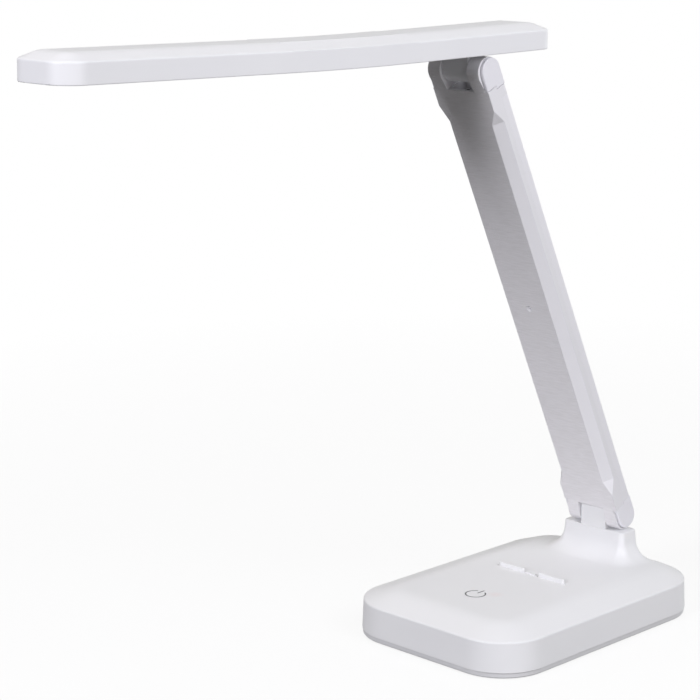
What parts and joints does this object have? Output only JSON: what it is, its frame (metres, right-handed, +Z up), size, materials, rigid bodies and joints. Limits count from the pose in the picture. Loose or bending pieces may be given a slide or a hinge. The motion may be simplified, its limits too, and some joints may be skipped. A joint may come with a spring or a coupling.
{
  "type": "folding desk lamp",
  "caption": "Folding desk lamp: rounded weighted base with phone stop, flat arm hinged at both ends and a long slim light head.",
  "frame": {"origin": "centre of the base on the table, under the mat", "axes": "+Z up, +Y from the user towards the pedestal, +X to the user's right; the arm leans towards -Y"},
  "size_m": [0.105, 0.3606, 0.293],
  "materials": {
    "base_plastic": "satin moulded white",
    "cover_plastic": "satin moulded white, a little greyer",
    "mat_rubber": "fine matt grey",
    "ballast_steel": "rolled, zinc plated",
    "battery_wrap": "shrink film",
    "foam_tape": "matt foam",
    "circuit_board": "solder mask",
    "black_components": "moulded",
    "copper_foil": "bright foil",
    "spring_steel": "bright",
    "socket_shell": "plated, bright",
    "zinc_screws": "zinc plated",
    "wire_sleeve": "matt white sleeve",
    "hinge_steel": "turned, nickel plated",
    "arm_textured_plastic": "spark-eroded fine texture, white",
    "arm_plastic": "satin moulded white",
    "cap_plastic": "satin moulded white",
    "head_plastic": "satin moulded white",
    "opal_plastic": "opal, slightly frosted",
    "led_board_white": "white solder mask on aluminium",
    "warm_phosphor": "soft phosphor",
    "cool_phosphor": "soft phosphor",
    "reflector_film": "matt white film"
  },
  "bodies": {
    "base": {"base_top_shell": "base_plastic", "base_bottom_cover": "cover_plastic", "anti_slip_mat": "mat_rubber", "counterweight": "ballast_steel", "battery": "battery_wrap", "battery_tape": "foam_tape", "control_board": "circuit_board", "board_parts": "black_components", "touch_electrode": "copper_foil", "touch_spring": "spring_steel", "charge_board": "circuit_board", "charge_socket": "socket_shell", "base_screws": "zinc_screws", "board_screws": "zinc_screws", "base_lead": "wire_sleeve", "battery_lead": "wire_sleeve", "lower_hinge_bush": "hinge_steel"},
    "arm": {"arm_front_shell": "arm_textured_plastic", "arm_rear_shell": "arm_plastic", "lower_cap_left": "cap_plastic", "lower_cap_right": "cap_plastic", "upper_cap_left": "cap_plastic", "upper_cap_right": "cap_plastic", "lower_hinge_bolt": "hinge_steel", "lower_hinge_nut": "hinge_steel", "lower_hinge_washers": "spring_steel", "upper_hinge_bolt": "hinge_steel", "upper_hinge_nut": "hinge_steel", "upper_hinge_washers": "spring_steel", "arm_lead": "wire_sleeve"},
    "head": {"head_housing": "head_plastic", "head_hinge_plate": "head_plastic", "diffuser": "opal_plastic", "led_board": "led_board_white", "warm_leds": "warm_phosphor", "cool_leds": "cool_phosphor", "reflector_sheet": "reflector_film", "head_screws": "zinc_screws", "upper_hinge_bush": "hinge_steel", "head_lead": "wire_sleeve"}
  },
  "joints": [
    {"name": "arm_fold", "type": "hinge", "parent": "base", "child": "arm", "pos_m": [0, 0.0568, 0.0438], "axis": [1, 0, 0], "range_deg": [-30, 62]},
    {"name": "head_fold", "type": "hinge", "parent": "arm", "child": "head", "pos_m": [0, -0.04928, 0.27128], "axis": [1, 0, 0], "range_deg": [-65, 115]}
  ]
}
